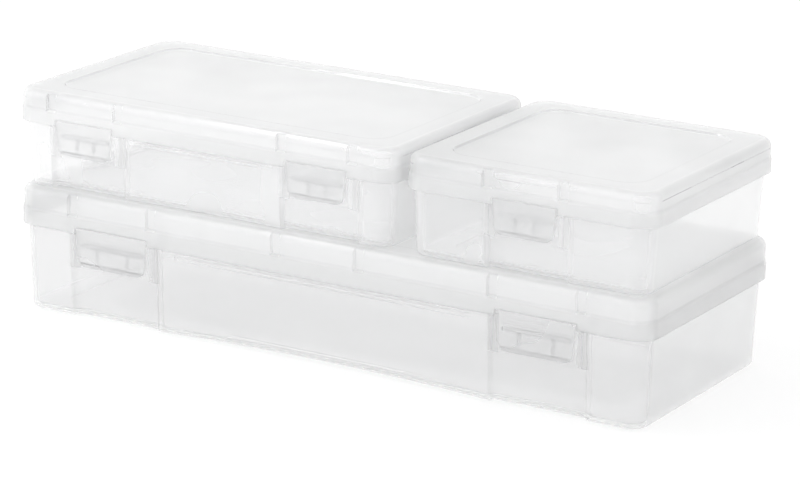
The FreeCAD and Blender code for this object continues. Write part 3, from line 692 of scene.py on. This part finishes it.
def satin_group():
    """A node group with the fine grain and the slow cloud of the moulded face, each 0 to 1."""
    group = bpy.data.node_groups.new("satin_face", "ShaderNodeTree")
    for socket, value in (("Grain Size", GRAIN_SIZE), ("Cloud Size", CLOUD_SIZE)):
        made = group.interface.new_socket(socket, in_out="INPUT", socket_type="NodeSocketFloat")
        made.default_value = value
    for socket in ("Grain", "Cloud"):
        group.interface.new_socket(socket, in_out="OUTPUT", socket_type="NodeSocketFloat")
    inputs, outputs = group.nodes.new("NodeGroupInput"), group.nodes.new("NodeGroupOutput")
    place = add(group, "TexCoord").outputs["Object"]
    grain, cloud = add(group, "TexNoise"), add(group, "TexNoise")
    for noise, name, detail in ((grain, "Grain", 0.0), (cloud, "Cloud", 1.0)):
        size = inputs.outputs[name + " Size"]
        put(noise.inputs, {"Vector": place, "Scale": size, "Detail": detail})
        put(outputs.inputs, {name: noise.outputs["Fac"]})
    return group


SATIN = satin_group()
print("satin group:", ", ".join(node.bl_idname for node in SATIN.nodes))

# %% [markdown]
# ## The plastic
# Natural polypropylene is clear but milky.  Part of the light goes straight through, and a wall's
# haze says how much doesn't: it is the surface's alpha.  What is held back is scattered, partly back
# as a pale base colour, partly on through the wall as a rough transmission.  A coat gives the faces
# their soft gloss, and a faint noise bump their satin grain.  Below its step a lid and the tray's
# rim lie behind each other, so the skirt is a little hazier, and its colour is painted greyer as
# shade.  The colour is also painted darker towards grazing faces and silhouettes, as shade.
# Volume scatter would be nearer to nature, but it is slow and noisy in walls as thin as these.

# %% Making a plastic
PLASTIC_IOR, COAT_ROUGHNESS, FACE_ROUGHNESS = 1.15, 0.12, (0.55, 0.65)
GRAIN_BUMP, GRAIN_HEIGHT = 0.01, 0.0002
# The second of these is the colour's share kept at grazing faces: a painted shade there.
CLOUD_TONE, SLANT_PAINTED_SHADE, SLANT_POWER = 0.97, 0.93, 10.0
HAZE_LEAST, HAZE_CLOUD, HAZE_SKIRT = 0.85, 0.3, 0.35
NO_SKIRT, SKIRT_BLEND = -1000.0, 0.0012


def maths(tree, operation, *values):
    """The result of a Math node, with its values linked or set."""
    made = add(tree, "Math", operation=operation)
    put(made.inputs, dict(enumerate(values)))
    return made.outputs[0]


def plastic(name, colour, through, haze, slant_limit, gloss, skirt=None, shade=0.94):
    """Milky polypropylene.  A wall's haze hides 1 - (1 - haze)^(1 / cos of the viewing angle) of
    what lies behind it, because a slanting look crosses more plastic; slant_limit is the least
    cosine that counts.  gloss is the coat's IOR.  It has to be high, because alpha weakens the coat
    too.  skirt is the height of a lid's step in mm, and shade the skirt's share of the colour, a
    painted shade below the step.  Towards grazing faces the colour is painted darker as well."""
    material = bpy.data.materials.new(name)
    material.use_nodes = True
    tree = material.node_tree

    def mix(factor, first, share):
        """From the first colour to a share of the plastic's own."""
        made = add(tree, "Mix", data_type="RGBA")
        put(made.inputs, {"Factor": factor, "A": first, "B": tone(share)})
        return made.outputs["Result"]

    def tone(share):
        return (*(share * k for k in colour), 1)

    face = add(tree, "Group", node_tree=SATIN).outputs
    facing = add(tree, "LayerWeight").outputs["Facing"]
    height = add(tree, "SeparateXYZ")
    put(height.inputs, {"Vector": add(tree, "TexCoord").outputs["Object"]})
    skirt_shade_and_haze = add(tree, "MapRange", interpolation_type="SMOOTHSTEP")
    step = (skirt or NO_SKIRT) * MM
    put(skirt_shade_and_haze.inputs, {"Value": height.outputs["Z"], "From Min": step + SKIRT_BLEND,
                        "From Max": step - SKIRT_BLEND})
    skirt_shade_and_haze = skirt_shade_and_haze.outputs["Result"]
    # The cloud is the plastic's own tone; below the step the colour is greyed as painted shade of the
    # walls behind the skirt.
    tint = mix(skirt_shade_and_haze, mix(face["Cloud"], tone(CLOUD_TONE), 1.0), shade)
    # painted shade: the colour turns darker towards grazing faces and silhouettes
    tint = mix(maths(tree, "POWER", facing, SLANT_POWER), tint, SLANT_PAINTED_SHADE)
    rough = add(tree, "MapRange")
    put(rough.inputs, {"Value": face["Grain"], "To Min": FACE_ROUGHNESS[0],
                       "To Max": FACE_ROUGHNESS[1]})
    bump = add(tree, "Bump")
    put(bump.inputs, {"Height": face["Grain"], "Strength": GRAIN_BUMP, "Distance": GRAIN_HEIGHT})
    cosine = maths(tree, "MAXIMUM", maths(tree, "SUBTRACT", 1.0, facing), slant_limit)
    hazy = maths(tree, "MULTIPLY_ADD", face["Cloud"], haze * HAZE_CLOUD, haze * HAZE_LEAST)
    hazy = maths(tree, "MULTIPLY_ADD", skirt_shade_and_haze, haze * HAZE_SKIRT, hazy)
    clear = maths(tree, "SUBTRACT", 1.0, hazy)
    clear = maths(tree, "POWER", clear, maths(tree, "DIVIDE", 1.0, cosine))
    put(tree.nodes["Principled BSDF"].inputs, {
        "Base Color": tint, "IOR": PLASTIC_IOR, "Transmission Weight": through,
        "Roughness": rough.outputs["Result"], "Coat Weight": 1.0,
        "Coat Roughness": COAT_ROUGHNESS, "Coat IOR": gloss,
        "Normal": bump.outputs["Normal"], "Alpha": maths(tree, "SUBTRACT", 1.0, clear)})
    print(f"{name}: {len(tree.nodes)} nodes, haze {haze}, coat IOR {gloss}")
    return material


# %% [markdown]
# The long case's plastics are darker copies of the upper two's, and the latches' darker copies of
# the lids': painted shade, for the long case's place low in the stack and where tray, hook and plate
# lie behind each other.  Only the upper two lids have the strong gloss on their crowns.

# %% The six plastics
# Lighter and darker copies of one plastic: the greyer ones paint shade on the long case and the
# latches.
LONG_TRAY = plastic("long_tray_polypropylene", (0.83, 0.833, 0.837), 0.5, 0.19, 0.4, 1.5)
LONG_LID = plastic("long_lid_polypropylene", (0.895, 0.898, 0.902), 0.5, 0.29, 0.3, 1.5, 51.8, 0.88)
LONG_LATCH = plastic("long_latch_polypropylene", (0.76, 0.763, 0.767), 0.5, 0.26, 0.3, 1.5)
TRAY = plastic("tray_polypropylene", (0.99, 0.992, 0.995), 0.3, 0.21, 0.55, 1.5)
LID = plastic("lid_polypropylene", (0.905, 0.908, 0.912), 0.5, 0.28, 0.3, 2.2, 101.9)
LATCH = plastic("latch_polypropylene", (0.84, 0.843, 0.847), 0.5, 0.27, 0.3, 1.5)
FINISHES = [(trays, LONG_TRAY, TRAY), (lids, LONG_LID, LID), (latches, LONG_LATCH, LATCH)]
for pieces, long_finish, short_finish in FINISHES:
    for piece in pieces:
        piece.data.materials.append(long_finish if piece.name.startswith("large") else short_finish)

# %% [markdown]
# ## The floor
# The photograph's ground is pure white, with hardly a shadow.  The ground could be cut out after
# the render.  Here it is a sheet of paper that glows a little, so that it shows as the same white
# and the cases still stand on something.

# %% Floor
PAPER_GREY, PAPER_GLOW, PAPER_ROUGHNESS, WHITE = 0.3, 0.68, 0.9, (1, 1, 1, 1)
floor_mesh = bpy.data.meshes.new("studio_floor")
floor_mesh.from_pydata([(-6, -6, 0), (6, -6, 0), (6, 6, 0), (-6, 6, 0)], [], [(0, 1, 2, 3)])
floor = bpy.data.objects.new("studio_floor", floor_mesh)
bpy.context.scene.collection.objects.link(floor)
paper = bpy.data.materials.new("white_paper")
paper.use_nodes = True
put(paper.node_tree.nodes["Principled BSDF"].inputs, {
    "Base Color": (PAPER_GREY, PAPER_GREY, PAPER_GREY, 1), "Emission Color": WHITE,
    "Emission Strength": PAPER_GLOW, "Roughness": PAPER_ROUGHNESS})
floor_mesh.materials.append(paper)
print("floor:", paper.name, "with a glow of", PAPER_GLOW)

# %% [markdown]
# ## Light
# The cases are lit from all sides, a little more from above and from the left.  A white world does
# that without hard edges in the gloss: its strength is a level plus the dot product of direction
# and slope.  Two softboxes help it.  The small one draws the highlights along the crowns, and the
# broad one lightens the left, without being mirrored.

# %% Light
WORLD_LEVEL, WORLD_SLOPE = 0.91, (-0.08, -0.05, 0.20)
world = bpy.data.worlds.new("studio_white")
bpy.context.scene.world = world
world.use_nodes = True
sky = world.node_tree
toward = add(sky, "TexCoord").outputs["Generated"]
slope = add(sky, "VectorMath", operation="DOT_PRODUCT")
put(slope.inputs, {0: toward, 1: WORLD_SLOPE})
strength = maths(sky, "ADD", slope.outputs["Value"], WORLD_LEVEL)
put(sky.nodes["Background"].inputs, {"Color": WHITE, "Strength": strength})
world.cycles.sampling_method = "NONE"


def softbox(name, at, aim, size, power):
    """A square area light at a place, turned to its aim."""
    data = bpy.data.lights.new(name, "AREA")
    data.size, data.energy = size, power
    lamp = bpy.data.objects.new(name, data)
    lamp.location = at
    lamp.rotation_euler = (Vector(aim) - Vector(at)).to_track_quat("-Z", "Y").to_euler()
    bpy.context.scene.collection.objects.link(lamp)
    return lamp


softbox("crown_light", (-0.63, -0.36, 1.08), (0, 0, 0.05), 0.08, 1.2)
softbox("left_light", (-0.6, -0.5, 0.5), (-0.1, 0, 0.05), 0.5, 1.7).visible_glossy = False

# %% [markdown]
# ## Camera
# The photograph's camera could be guessed and then nudged until it fits.  Here its focal length,
# turn and place were worked out from the straight edges of the cases, which run to three vanishing
# points.

# %% Camera
FOCAL_PIXELS, PHOTO_PIXELS, SENSOR = 3592.2, 800, 36.0
camera_data = bpy.data.cameras.new("photo_camera")
camera_data.sensor_width = SENSOR
camera_data.lens = FOCAL_PIXELS / PHOTO_PIXELS * SENSOR
camera = bpy.data.objects.new("photo_camera", camera_data)
bpy.context.scene.collection.objects.link(camera)
right, up = (0.85959, 0.51056, 0.02077), (-0.16009, 0.23050, 0.95981)
back = (0.48525, -0.82837, 0.27987)
view = Matrix((right, up, back)).transposed().to_4x4()
view.translation = (0.83631, -1.41583, 0.52597)
camera.matrix_world = view
bpy.context.scene.camera = camera
bpy.context.scene.view_settings.view_transform = "Standard"
print(f"lens of {camera_data.lens:.1f} mm, {view.translation.length:.2f} m from the cases")

# %% [markdown]
# ## How far light is followed
# A look through the stack crosses many thin walls.  With the usual few bounces the walls behind
# would turn dark, so light is followed further, and a clamp keeps stray bright dots away.

# %% Bounces
cycles = bpy.context.scene.cycles
cycles.sample_clamp_indirect = 2.0
cycles.max_bounces = 32
cycles.transmission_bounces = 32
cycles.diffuse_bounces = 8
cycles.transparent_max_bounces = 32
print("bounces:", cycles.max_bounces)
